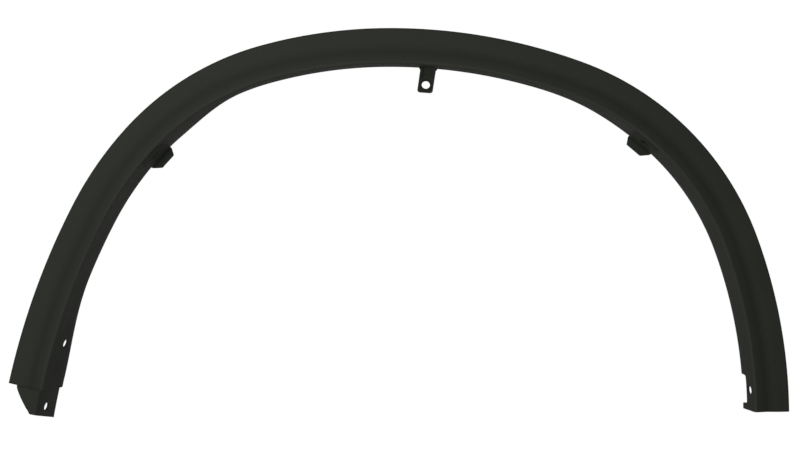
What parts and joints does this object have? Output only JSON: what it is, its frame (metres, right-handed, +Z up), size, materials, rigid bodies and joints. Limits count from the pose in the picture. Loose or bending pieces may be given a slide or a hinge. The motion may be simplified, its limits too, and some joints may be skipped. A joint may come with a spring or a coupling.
{
  "type": "wheel arch trim",
  "caption": "Moulded arch-shaped trim strip with an inward flange, hanging screw tab, side clip tabs and a stepped tongue at the front foot.",
  "frame": {"origin": "centre of the hole in the top tab, half-way through the tab's wall", "axes": "+X along the car towards its rear, +Y from the outer face into the wheel well, +Z up; left-hand front wheel arch"},
  "size_m": [0.9311, 0.084, 0.4698],
  "materials": {
    "grained_plastic": "fine moulded grain, unpainted"
  },
  "bodies": {
    "root": {"arch_trim": "grained_plastic"}
  },
  "joints": []
}
